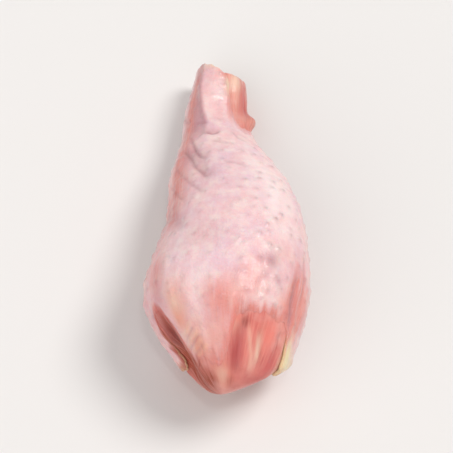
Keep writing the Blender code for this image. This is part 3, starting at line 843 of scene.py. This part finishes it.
RED_AND_SHADED_SKIN = (  # along, around, strength, reach along, reach around
    # Over the large muscle, up from the upper hem
    (77.5, 86, 0.45, 4, 6), (74, 90, 0.25, 4, 12), (84, 86, 0.35, 5, 5), (77, 93, 0.45, 5, 5),
    (80, 99, 0.25, 5, 6), (74, 101, 0.28, 3.5, 5), (68, 72, 0.38, 4.5, 10), (71.5, 72, 0.22, 3, 8),
    (65, 60, 0.18, 4, 9), (62, 47, 0.22, 3, 9),
    # The right of the shoulder, along the fold beside the flap
    (71, 36, 0.60, 8, 7), (76, 38, 0.40, 5, 8), (76, 22, 0.70, 8, 12), (79, 27, 0.45, 4, 5),
    (69, 28, 0.45, 6, 6), (75, 21, 0.35, 6, 7), (74, 9, 0.45, 8, 10), (55, 20, 0.16, 20, 14),
    # Round the notch and over the knob of the elbow
    (15, 60, 0.35, 5, 6), (12, 20, 0.25, 10, 20), (12, 48, 0.5, 4, 8), (17.5, 34, 0.25, 2.5, 14),
    (17, 77, 0.16, 2.5, 8), (14, 100, 0.10, 14, 50), (7, 92, 0.10, 8, 30), (3.5, 104, 0.16, 4, 22),
    (2.5, 78, 0.30, 3, 12),
    # Down the left flank, from the elbow to the window: partly a flush, partly painted shade of the left side
    (2.5, 162, 0.45, 4, 20), (9.5, 144, 0.40, 6, 10), (10, 134, 0.40, 9, 12), (14, 150, 0.35, 9, 20),
    (18, 140, 0.25, 6, 12), (23, 145, 0.40, 7, 14), (30, 152, 0.40, 8, 18), (38, 150, 0.35, 9, 10),
    (40, 150, 0.35, 8, 12), (40, 140, 0.16, 8, 30), (43, 136, 0.25, 9, 8), (45, 174, 0.50, 9, 16),
    (50, 148, 0.40, 4, 8), (60, 170, 0.45, 12, 20), (64, 144, 0.26, 5, 8), (67, 147, 0.40, 6, 10),
    (84, 148, 0.40, 6, 7),
    # Along the hem of the underside
    (76, 180, 0.35, 6, 20), (86, 210, 0.30, 6, 30), (82, 270, 0.30, 6, 40), (84, 320, 0.30, 6, 24),
)
NOTCH_SIDES = (-75, 75)  # the angles between which the notch opens
NOTCH_FLUSH, NOTCH_FLUSH_REACH = 0.42, 2.5 * MM
FLUSH_AND_SHADE_LIMIT = 0.88
FLUSH_AND_SHADE_LOST = 0.6  # at the hem, to the redness there
RED_REACH = (  # around, then how far up from the hem the red shows through
    (0, 0.8), (20, 1.2), (32, 3.2), (48, 3.4), (62, 3.4), (73, 4.2), (84, 7.6), (95, 6.0), (108, 4.2),
    (124, 4.8), (134, 3.4), (144, 2.6), (156, 3.0), (172, 2.4), (190, 2.4), (206, 1.8), (220, 1.5),
    (270, 2.0), (330, 1.5), (360, 0.8),
)
REDNESS_AT_HEM = 0.93
RAGGED_REDNESS = 0.4  # how far streaks break up the edge of a red place
PEACH_SKIN = (
    (84.5, 110, 0.80, 5.5, 24), (75, 88, 0.35, 5, 14), (77, 43, 0.45, 4, 7), (74, 66, 0.20, 4, 10),
    (75, 128, 0.75, 5, 10), (78.5, 134, 0.32, 3, 8),
)
# Chalky white skin, which on the upper right and on the left of the body is painted light.
CHALK_AND_LIT_SKIN = (
    (46, 52, 0.60, 11, 16), (9, 94, 0.35, 5, 14), (10, 66, 0.40, 3, 7), (36, 62, 0.30, 8, 12),
    (62, 140, 0.30, 8, 12), (70, 108, 0.25, 4, 14), (60, 130, 0.20, 6, 14),
)
PATCH_SIZE, PATCHINESS = (2.2, 2.2, 6.0), 0.5
# The flat left side of the neck is darkened with painted shade, as a side turned from the light.
FACET_SHADE, MAUVE_AND_SHADE_LIMIT = 0.70, 0.85
# Mauve tints of thin skin; those on the left of the neck and down the left flank are painted shade.
MAUVE_AND_SHADED_SKIN = (
    (72, 144, 0.45, 4, 7), (76, 160, 0.65, 4, 8), (23, 132, 0.32, 4, 11),
    (31, 138, 0.48, 5, 14), (50, 160, 0.30, 7, 20), (65, 58, 0.50, 2.2, 6), (70, 51, 0.45, 1.5, 3),
    (40, 112, 0.06, 5, 18), (58, 110, 0.18, 4, 20), (60, 250, 0.25, 12, 30),
)
FATTY_SKIN = (
    (74.8, 130, 0.20, 3.0, 6), (1.4, 90, 0.55, 1.2, 30), (6.5, 64, 0.70, 3.0, 9), (87, 8, 1.00, 3.4, 22),
    (83.5, 20, 0.55, 3.5, 5), (62, 350, 0.30, 9, 20), (87, 204, 0.40, 3, 10), (50, 220, 0.20, 12, 24),
)
CUT_EDGE_FAT = 0.45
STREAK_FAT_HEIGHT, STREAK_FAT = 0.2 * MM, 0.15
# Painted shade in the creases: how dark it is for each millimetre of a broad and of a fine crease's depth,
# and at most.
CREASE_SHADE, FINE_CREASE_SHADE, CREASE_SHADE_LIMIT = 0.42 / MM, 1.5 / MM, 0.75


def over_nearest_pores(points, pore_places, pore_size, widths):
    """For each width: from 0 to 1, how high bumps of that width stand at each point."""
    tree = search_tree(pore_places)
    found = [tree.find_n(point, 3) for point in points]
    away = np.array([[f[2] for f in three] for three in found])
    which = np.array([[f[1] for f in three] for three in found])
    return [np.max(pore_size[which] * hump(away / width), axis=1) for width in widths]


def left_facet(along, around):
    """From 0 to 1: the flat left side of the neck, which meets its front in a blunt edge."""
    edge = np.interp(along, *np.array(FACET_EDGE).T)
    inside = ease((around - edge) / 8) * ease((FACET_BACK - around) / 40)
    return inside * ease((FACET_ENDS - along) / 8)


def skin_profile():
    """The way round a lengthwise cut of the skin: up its outside, over the hem, back inside, and round
    the elbow rim. For each row: share of the way to the hem, share of the depth, and overhang."""
    outer = np.linspace(0, 1, OUTER_ROWS)
    inner = np.linspace(1, 0, INNER_ROWS)
    turn = np.linspace(0, math.pi, LIP_ROWS + 2)[1:-1]
    share = np.concatenate([outer, np.ones(LIP_ROWS), inner, np.zeros(LIP_ROWS)])
    lip_depth, lip_out = (1 - np.cos(turn)) / 2, np.sin(turn)
    sunk = np.concatenate([np.zeros(OUTER_ROWS), lip_depth, np.ones(INNER_ROWS), 1 - lip_depth])
    over = np.concatenate([np.zeros(OUTER_ROWS), lip_out, np.zeros(INNER_ROWS), -lip_out])
    return share, sunk, over


def skin_reach(share, around):
    """Follows the rims near them, and even rings between."""
    first, last = reach_of(start_of_skin(around)), reach_of(hem_of_skin(around))
    ring = np.arange(0, 360, 1.0)
    mean_first, mean_last = reach_of(start_of_skin(ring)).mean(), reach_of(hem_of_skin(ring)).mean()
    reach = mean_first + (mean_last - mean_first) * share
    reach += (first - mean_first) * ease(1 - share / RIM_REACH)
    return reach + (last - mean_last) * ease(1 - (1 - share) / RIM_REACH)


def pores():
    """The plucked feathers' pores, in staggered rows over the whole skin: places and bump heights."""
    draw = np.random.default_rng(11)
    reaches, angles = [], []
    length = LENGTH - CAP_LENGTH + CAP_LENGTH * math.pi / 2
    for k, reach in enumerate(np.arange(0.035, 0.98, PORE_SPACING * PORE_ROWS / length)):
        ring = plain_form(np.full(73, reach), np.linspace(0, 360, 73))
        girth = np.linalg.norm(np.diff(ring, axis=0), axis=1).sum()
        count = max(6, round(girth / PORE_SPACING))
        step = 360 / count
        turned = (np.arange(count) + 0.5 * (k % 2)) * step + draw.normal(0, PORE_JITTER / girth * 360, count)
        reaches.append(reach + draw.normal(0, PORE_JITTER / length, count))
        angles.append(turned)
    reaches, angles = np.concatenate(reaches), np.concatenate(angles)
    size = draw.uniform(*BUMP_SIZES, len(reaches))
    size *= BUMPS_ELSEWHERE + painted_zones(along_of(reaches) / MM, angles, BUMPY_SKIN)
    return body_surface(reaches, angles, 0.0), size


def raw_skin():
    """Raw chicken skin: pale rose with cooler and creamier patches, a pore in each goose bump with
    painted shade in it and round it, and a broken shine, wet on the bumps and duller in the wrinkles."""
    look = bpy.data.materials.new("raw chicken skin")
    look.use_nodes = True
    tree = look.node_tree
    shader = tree.nodes["Principled BSDF"]
    place = add_node(tree, "TexCoord").outputs["Object"]
    patches = add_node(tree, "TexNoise", {"Vector": place, "Scale": 1 / (8 * MM), "Detail": 3.0})
    spots = add_node(
        tree, "TexNoise", {"Vector": place, "Scale": 1 / (2.8 * MM), "Detail": 4.0, "Roughness": 0.6}
    )
    fine = add_node(tree, "TexNoise", {"Vector": place, "Scale": 1 / (0.7 * MM), "Detail": 3.0})
    cool = add_node(
        tree, "MapRange", {"Value": patches.outputs["Fac"], "From Min": 0.42, "From Max": 0.66, "To Max": 0.8}
    )
    creamy = add_node(
        tree, "MapRange", {"Value": spots.outputs["Fac"], "From Min": 0.48, "From Max": 0.68, "To Max": 0.75}
    )
    warm = add_node(
        tree, "MapRange", {"Value": spots.outputs["Fac"], "From Min": 0.50, "From Max": 0.30, "To Max": 0.36}
    )
    flush_and_shade = add_node(tree, "Attribute", attribute_name="flush_and_shade").outputs["Fac"]
    muscle, threads = muscle_tone(tree)
    streaky = add_node(
        tree, "MapRange", {"Value": threads, "From Min": 0.3, "From Max": 0.7, "To Min": 0.55, "To Max": 1.4}
    )
    streaky_flush_and_shade = add_node(
        tree, "Math", {0: flush_and_shade, 1: streaky.outputs["Result"]}, operation="MULTIPLY", use_clamp=True
    )
    colour = layered(
        tree,
        linear(ROSE),
        (
            (cool.outputs["Result"], LAVENDER),
            (creamy.outputs["Result"], CREAM),
            (warm.outputs["Result"], BLUSH),
            # Chalk white is in places painted light, and mauve, the flush and the muscle's deep red and brown
            # are in places painted shade.
            ("chalk_and_light", CHALK),
            ("mauve_and_shade", MAUVE),
            ("peach", PEACH),
            (streaky_flush_and_shade.outputs[0], muscle),
            ("rosy", ROSY),
            ("crimson", CRIMSON),
            ("deep", DEEP_RED),
            ("brown_and_shade", DRIED_BROWN_AND_SHADE),
            ("fat", SKIN_FAT),
            # The last two are painted shade: in the creases, and in and round the pores.
            ("crease", FOLD_SHADE),
            ("pore", PORE_SHADE),
        ),
    )
    tree.links.new(colour, shader.inputs["Base Color"])
    wetness = add_node(
        tree,
        "MapRange",
        {"Value": spots.outputs["Fac"], "From Min": 0.3, "From Max": 0.7, "To Min": 0.52, "To Max": 0.34},
    )
    tree.links.new(wetness.outputs["Result"], shader.inputs["Roughness"])
    # The net of fine lines between the pores has meshes of about 1.1 mm
    net = add_node(
        tree, "TexVoronoi", {"Vector": place, "Scale": 1 / (1.1 * MM)}, feature="DISTANCE_TO_EDGE"
    )
    grooves = add_node(
        tree, "MapRange", {"Value": net.outputs["Distance"], "From Min": 0.0, "From Max": 0.2}
    )
    netted = add_node(
        tree, "Bump", {"Height": grooves.outputs["Result"], "Distance": 0.06 * MM, "Strength": 0.6}
    )
    grained = add_node(
        tree,
        "Bump",
        {
            "Height": fine.outputs["Fac"],
            "Distance": 0.14 * MM,
            "Strength": 0.8,
            "Normal": netted.outputs["Normal"],
        },
    )
    tree.links.new(grained.outputs["Normal"], shader.inputs["Normal"])
    for name, value in {
        "IOR": 1.40,
        "Subsurface Weight": 0.3,
        "Subsurface Radius": (1.0, 0.40, 0.28),
        "Subsurface Scale": 1.1 * MM,
        "Specular IOR Level": 0.4,
        "Coat Weight": 0.42,
        "Coat IOR": 1.33,
        "Coat Roughness": 0.14,
    }.items():
        shader.inputs[name].default_value = value
    return look


profile_share, profile_sunk, profile_over = skin_profile()
bpy.ops.object.select_all(action="DESELECT")
bpy.ops.mesh.primitive_torus_add(
    major_segments=SKIN_COLUMNS,
    minor_segments=len(profile_share),
    major_radius=1,
    minor_radius=0.5,
)
skin = bpy.context.active_object
ring = np.empty(len(skin.data.vertices) * 3)
skin.data.vertices.foreach_get("co", ring)
ring = ring.reshape(-1, 3)
around = np.degrees(np.arctan2(ring[:, 1], ring[:, 0]))
minor = np.arctan2(ring[:, 2], np.hypot(ring[:, 0], ring[:, 1]) - 1)
profile = np.round(minor / (2 * math.pi) * len(profile_share)).astype(int) % len(profile_share)
sunk, over = profile_sunk[profile], profile_over[profile]
reach = skin_reach(profile_share[profile], around)
thick = skin_thickness(reach, around)
from_hem = hem_of_skin(around) - along_of(reach)
reach = reach_of(along_of(reach) + over * thick * LIP_OVERHANG)
along = along_of(reach) / MM
places = plain_form(reach, around)
tube = straightened(reach, around)
crease = lines(places, CREASES)
fine_crease = lines(places, FINE_CREASES)
ridge = lines(places, RIDGES)
streak = lines(places, FAT_STREAKS)
pore_places, pore_size = pores()
body = places + swelling(reach, around)[:, None] * outward(reach, around)
bump, bump_shade_ring, pore = over_nearest_pores(body, pore_places, pore_size, PORE_WIDTHS)
on_neck = ease((NECK_ENDS - along) / NECK_BLEND)
wrinkle = rough(tube / np.array(NECK_WRINKLES), MM, seed=2.2) * on_neck
wrinkle += rough(tube / np.array(BODY_WRINKLES), MM, seed=5.9) * (1 - on_neck)
lump = rough(places, SKIN_LUMP_SIZE, seed=9.4)
outer = 1 - sunk
film = thin_film(thick)
relief = BUMP_HEIGHT * bump + WRINKLE_DEPTH * wrinkle + SKIN_LUMP_HEIGHT * lump
relief = relief * (1 - film) + film * muscle_relief(places, tube) - fine_crease + ridge + streak
relief -= FACET_DEPTH * left_facet(along, np.mod(around - FACET_LAG, 360))
relief = loose_edge(reach, around) - crease + outer * relief
points = body_surface(reach, around, sunk * thick, relief)
shape_piece(skin, "drumette_skin", points)
paint(skin, "straightened", tube, "FLOAT_VECTOR")
streaks = fibre_streaks(tube)
red_reach = through(np.mod(around, 360), *np.array(RED_REACH).T) * MM
reddened = ease(1.0 - from_hem / red_reach + RAGGED_REDNESS * streaks)
angles = np.arange(*NOTCH_SIDES, 0.5)
from_notch, _ = nearest_on(places, plain_form(reach_of(start_of_skin(angles)), angles))
at_notch = ease(1 - from_notch / NOTCH_FLUSH_REACH + RAGGED_REDNESS * streaks)
# The red of the muscle through thin skin, which down the left flank is painted shade as well.
flush_and_shade = np.clip(painted_zones(along, around, RED_AND_SHADED_SKIN) + NOTCH_FLUSH * at_notch, 0, FLUSH_AND_SHADE_LIMIT)
flush_and_shade = flush_and_shade * (1 - FLUSH_AND_SHADE_LOST * reddened) + reddened * REDNESS_AT_HEM
paint(skin, "flush_and_shade", np.clip(flush_and_shade, 0, 1))
# Near the hem the muscle's colours show through, painted shade among them.
for name, zones in (("rosy", ROSY_MEAT), ("crimson", CRIMSON_MEAT), ("deep", DEEP_AND_SHADED_MEAT)):
    paint(skin, name, reddened * painted_zones(along, around, zones))
# Near the hem the same brown, partly painted shade.
brown_and_shade_amount = BROWN_AND_SHADE_EVENLY + BROWN_AND_SHADE_STREAKS * streaks
paint(skin, "brown_and_shade", brown_and_shade_amount * reddened * painted_zones(along, around, BROWN_AND_SHADED_MEAT))
# Painted shade on the left of the neck and down the left flank, over mauve tints of thin skin.
facet = left_facet(along, np.mod(around, 360))
mauve_and_shade = painted_zones(along, around, MAUVE_AND_SHADED_SKIN) + FACET_SHADE * facet
paint(skin, "mauve_and_shade", np.clip(mauve_and_shade, 0, MAUVE_AND_SHADE_LIMIT))
# Peach tints, and chalk white that is in places painted light.
patchy = 1 + PATCHINESS * rough(tube / np.array(PATCH_SIZE), MM, seed=8.8)
for name, zones in (("peach", PEACH_SKIN), ("chalk_and_light", CHALK_AND_LIT_SKIN)):
    paint(skin, name, np.clip(painted_zones(along, around, zones) * patchy, 0, 1))
cut_edge = np.where(sunk > 0.1, CUT_EDGE_FAT * (1 - film), 0)
streak_fat = np.clip(streak / STREAK_FAT_HEIGHT, 0, STREAK_FAT)
paint(skin, "fat", np.clip(painted_zones(along, around, FATTY_SKIN) + cut_edge + streak_fat, 0, 1))
# Painted shade: in each pore's pit, too small for the mesh, and in a ring round each goose bump.
bump_shade_tone, pore_shade_tone = PORE_SHADE_TONES
paint(skin, "pore", outer * (bump_shade_tone * bump_shade_ring + pore_shade_tone * pore))
# Painted shade in the creases, darker the deeper they are.
painted_fold_shade = CREASE_SHADE * crease + FINE_CREASE_SHADE * fine_crease
paint(skin, "crease", np.clip(painted_fold_shade, 0, CREASE_SHADE_LIMIT))
dress(skin, "skin", raw_skin())

# -------------------------------------------------------------------------------- table and light
# A plain pale table top under soft daylight: a window high on the right gives the main light, a
# skylight overhead a little more, a pale wall at the front left throws some of it back, and the
# room's own light keeps the shadows open.

TABLE_COLOUR = "#e4e3e1"
ROOM_LIGHT = 0.49
BACKDROP = 0.90  # the table's own brightness, so that it ends without a horizon


def daylight(name, comes_from, strength, spread, colour):
    sun = bpy.data.lights.new(name, "SUN")
    sun.energy, sun.angle = strength, math.radians(spread)
    sun.color = linear(colour)[:3]
    stand = bpy.data.objects.new(name, sun)
    bpy.context.scene.collection.objects.link(stand)
    stand.location = comes_from
    stand.rotation_euler = (-Vector(comes_from)).to_track_quat("-Z", "Y").to_euler()


bpy.ops.object.select_all(action="DESELECT")
bpy.ops.mesh.primitive_plane_add(size=40)
table = bpy.context.active_object
table.name = "table_top"
table_look = bpy.data.materials.new("pale laminate")
table_look.use_nodes = True
table_shader = table_look.node_tree.nodes["Principled BSDF"]
table_shader.inputs["Base Color"].default_value = linear(TABLE_COLOUR)
table_shader.inputs["Roughness"].default_value = 0.7
table_shader.inputs["Specular IOR Level"].default_value = 0.0
table.data.materials.append(table_look)

daylight("window", (0.48, 0.22, 0.70), 1.76, 24, "#fffcfa")
daylight("skylight", (0.08, -0.12, 0.95), 0.18, 6, "#ffffff")
daylight("wall", (-0.55, -0.48, 0.52), 1.02, 70, "#fff8f7")
world = bpy.data.worlds.new("room")
world.use_nodes = True
air = world.node_tree
ray = add_node(air, "LightPath")
seen = add_node(air, "Mix", {0: ray.outputs["Is Camera Ray"], 2: ROOM_LIGHT, 3: BACKDROP}, data_type="FLOAT")
background = air.nodes["Background"]
background.inputs["Color"].default_value = linear("#fbfafa")
air.links.new(seen.outputs[0], background.inputs["Strength"])
bpy.context.scene.world = world
bpy.context.scene.view_settings.view_transform = "Standard"

# ------------------------------------------------------------------------------------------- camera
# It looks down on the drumette from above the shoulder end, as in the photograph.

CAMERA_DISTANCE = 0.65
CAMERA_ELEVATION = math.radians(65)
FRAME_WIDTH = 0.114  # of the object's plane, across the picture
AIM = Vector((0, 0, 12 * MM))

view = bpy.data.cameras.new("camera")
view.sensor_width = 36
view.lens = 36 * CAMERA_DISTANCE / FRAME_WIDTH
view.clip_start, view.clip_end = 0.01, 10
camera = bpy.data.objects.new("camera", view)
bpy.context.scene.collection.objects.link(camera)
back = Vector((0, -math.cos(CAMERA_ELEVATION), math.sin(CAMERA_ELEVATION)))
camera.location = AIM + CAMERA_DISTANCE * back
camera.rotation_euler = (-back).to_track_quat("-Z", "Y").to_euler()
bpy.context.scene.camera = camera
